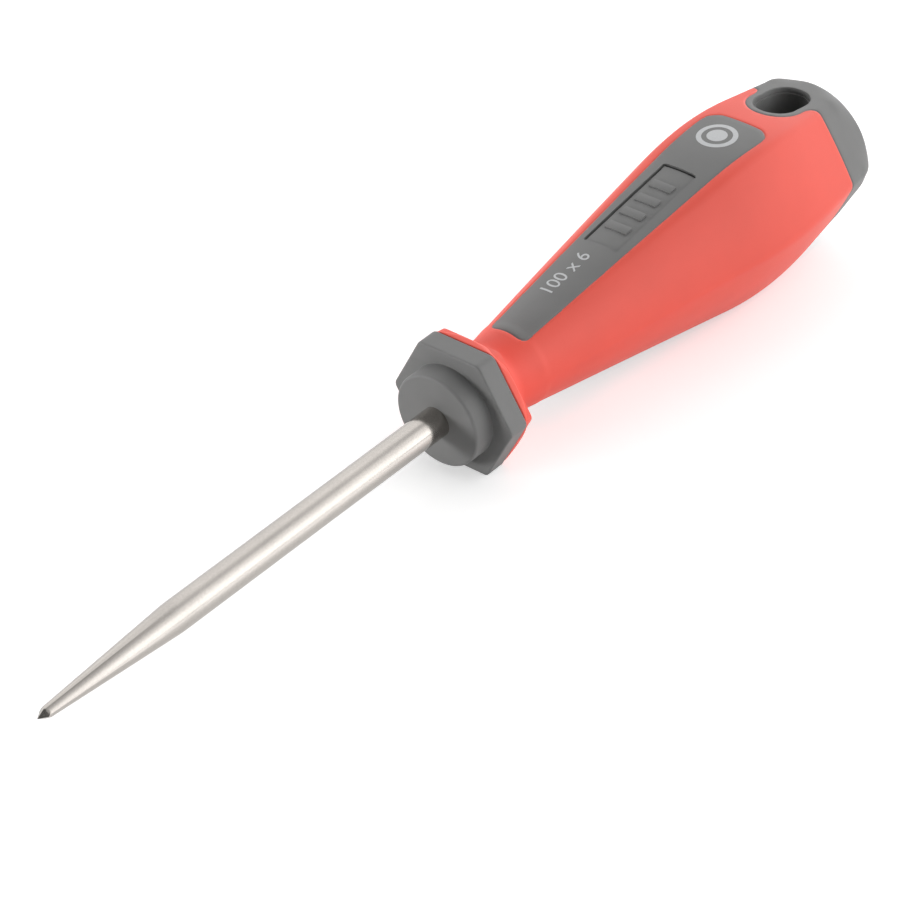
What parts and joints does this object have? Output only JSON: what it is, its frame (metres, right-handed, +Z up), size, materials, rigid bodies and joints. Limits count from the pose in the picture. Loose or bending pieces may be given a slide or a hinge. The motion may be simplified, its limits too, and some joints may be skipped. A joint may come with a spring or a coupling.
{
  "type": "bradawl",
  "caption": "Bradawl with a round steel blade that tapers to a faceted point, and a two-colour moulded handle with an anti-roll guard, a label pad and a hanging hole.",
  "frame": {"origin": "centre of the nose face, where the blade comes out of the handle", "axes": "+X along the tool from the point to the butt, +Z up through the label pad, Y across the handle"},
  "size_m": [0.214, 0.0356, 0.033],
  "materials": {
    "steel": "satin ground steel",
    "hard_grey": "fine matt moulded plastic",
    "soft_red": "soft satin moulded elastomer"
  },
  "bodies": {
    "root": {"blade": "steel", "handle_core": "hard_grey", "soft_grip": "soft_red"}
  },
  "joints": []
}
